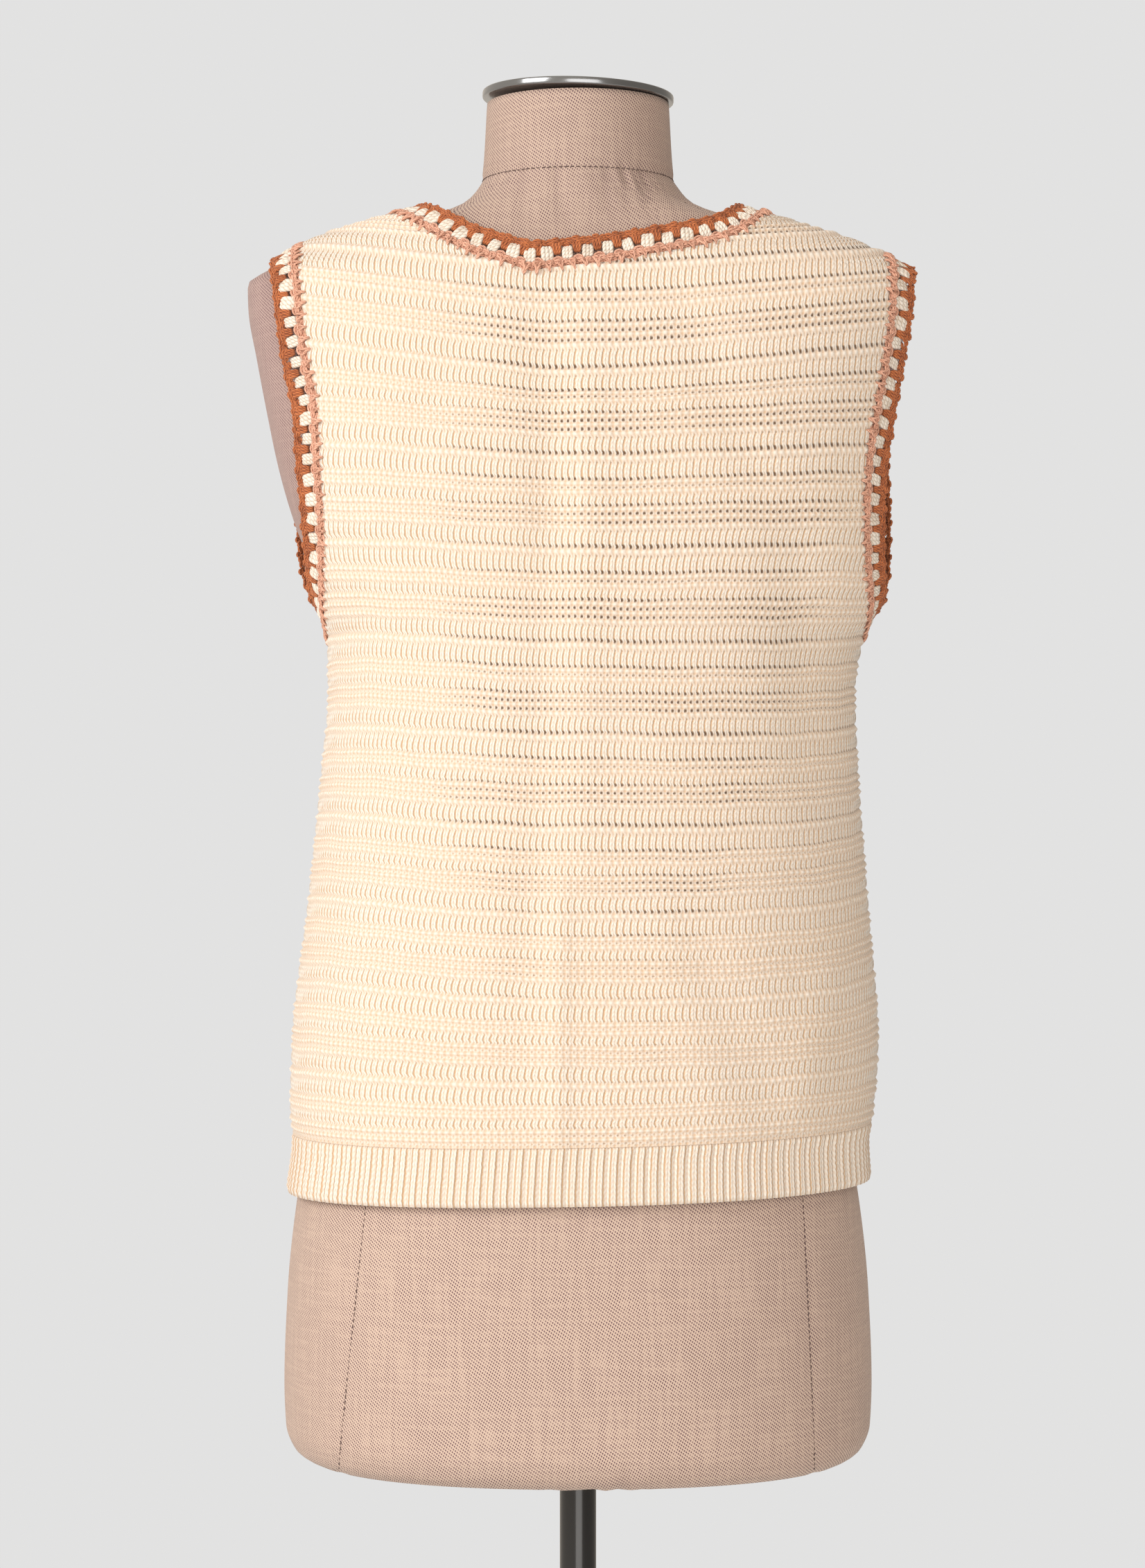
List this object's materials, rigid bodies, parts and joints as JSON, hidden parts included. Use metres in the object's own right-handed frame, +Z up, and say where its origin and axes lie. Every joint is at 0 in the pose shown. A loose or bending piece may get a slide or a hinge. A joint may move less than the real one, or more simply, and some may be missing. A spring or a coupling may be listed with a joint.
{
  "type": "sleeveless cardigan on a dress form",
  "caption": "Sleeveless knitted cardigan with crochet edging on the neck and armholes, buttoned at the front, worn by a limbless dress form on a pole stand.",
  "frame": {"origin": "centre of the round base's underside, where the stand rests on the floor", "axes": "+Z up, -Y out of the garment's back, +Y out of its buttoned front, +X to the wearer's right"},
  "size_m": [0.4002, 0.34, 1.5612],
  "materials": {
    "knit": "matte cotton knit",
    "crochet": "matte cotton crochet in rust, cream and pink",
    "form_cover": "matte flecked twill",
    "neck_cap": "bright turned steel",
    "stand": "gloss black",
    "button": "satin"
  },
  "bodies": {
    "root": {"back_panel": "knit", "front_left_panel": "knit", "front_right_panel": "knit", "back_hem_rib": "knit", "front_left_hem_rib": "knit", "front_right_hem_rib": "knit", "button_band_left": "knit", "button_band_right": "knit", "neck_trim_back": "crochet", "neck_trim_front_left": "crochet", "neck_trim_front_right": "crochet", "armhole_left_trim_back": "crochet", "armhole_left_trim_front": "crochet", "armhole_right_trim_back": "crochet", "armhole_right_trim_front": "crochet", "button_1": "button", "button_2": "button", "button_3": "button", "button_4": "button", "button_5": "button", "form_body": "form_cover", "neck_cap": "neck_cap", "pole": "stand", "base_plate": "stand"}
  },
  "joints": []
}
